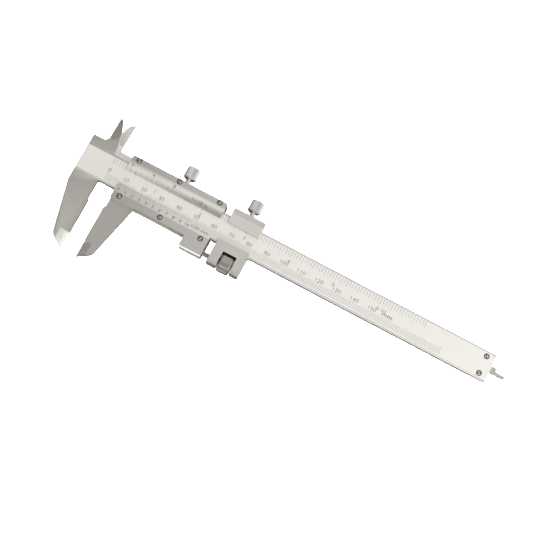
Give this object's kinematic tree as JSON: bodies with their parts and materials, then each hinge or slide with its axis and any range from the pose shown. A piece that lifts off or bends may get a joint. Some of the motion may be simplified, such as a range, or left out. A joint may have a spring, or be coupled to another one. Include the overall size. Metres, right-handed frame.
{
  "type": "vernier caliper",
  "caption": "Steel vernier caliper with outside jaws, inside blades, depth rod and a clamped fine-adjustment block.",
  "frame": {"origin": "middle of the footprint at rest, on the surface that the caliper lies on with its back down", "axes": "+X along the beam from the jaws to the depth rod, +Y towards the inside blades and the lock screws, +Z out of the graduated face"},
  "size_m": [0.2416, 0.0762, 0.0096],
  "materials": {
    "satin_chrome": "satin chrome, matt",
    "satin_steel": "satin ground",
    "ground_steel": "surface ground",
    "bright_steel": "bright ground",
    "screw_steel": "turned, slotted",
    "knurled_steel": "knurled, bright",
    "bronze": "rolled spring bronze"
  },
  "bodies": {
    "beam": {"main_beam": "satin_chrome", "end_stop_plate": "ground_steel", "end_screw_lower": "screw_steel", "end_screw_upper": "screw_steel"},
    "slider": {"slider_body": "ground_steel", "upper_vernier_plate": "satin_steel", "lower_vernier_plate": "satin_steel", "plate_screw_1": "screw_steel", "plate_screw_2": "screw_steel", "plate_screw_3": "screw_steel", "plate_screw_4": "screw_steel", "plate_screw_5": "screw_steel", "plate_screw_6": "screw_steel", "slider_gib": "bright_steel", "gib_spring": "bronze", "depth_rod": "bright_steel", "depth_rod_screw_1": "screw_steel", "depth_rod_screw_2": "screw_steel", "fine_adjust_rod": "bright_steel", "rod_pin": "bright_steel"},
    "slider_lock": {"slider_lock_screw": "knurled_steel"},
    "adjuster": {"fine_adjust_block": "satin_steel", "clamp_shoe": "bronze"},
    "nut": {"adjusting_nut": "knurled_steel"},
    "block_lock": {"block_lock_screw": "knurled_steel"}
  },
  "joints": [
    {"name": "slider_travel", "type": "slide", "parent": "beam", "child": "slider", "axis": [1, 0, 0], "range_m": [-0.0085, 0.1415]},
    {"name": "block_travel", "type": "slide", "parent": "slider", "child": "adjuster", "axis": [1, 0, 0], "range_m": [-0.0025, 0.005]},
    {"name": "nut_turn", "type": "hinge", "parent": "adjuster", "child": "nut", "pos_m": [-0.03035, -0.0065, 0.00485], "axis": [1, 0, 0], "range_deg": [-2000, 4000]},
    {"name": "slider_lock_turn", "type": "hinge", "parent": "slider", "child": "slider_lock", "pos_m": [-0.06725, 0.0248, 0.00365], "axis": [0, 1, 0], "range_deg": [0, 360]},
    {"name": "block_lock_turn", "type": "hinge", "parent": "adjuster", "child": "block_lock", "pos_m": [-0.03035, 0.0248, 0.00365], "axis": [0, 1, 0], "range_deg": [0, 360]}
  ],
  "couplings": [
    {"joint": "nut_turn", "follows": "block_travel", "rad_per_m": 13963}
  ]
}
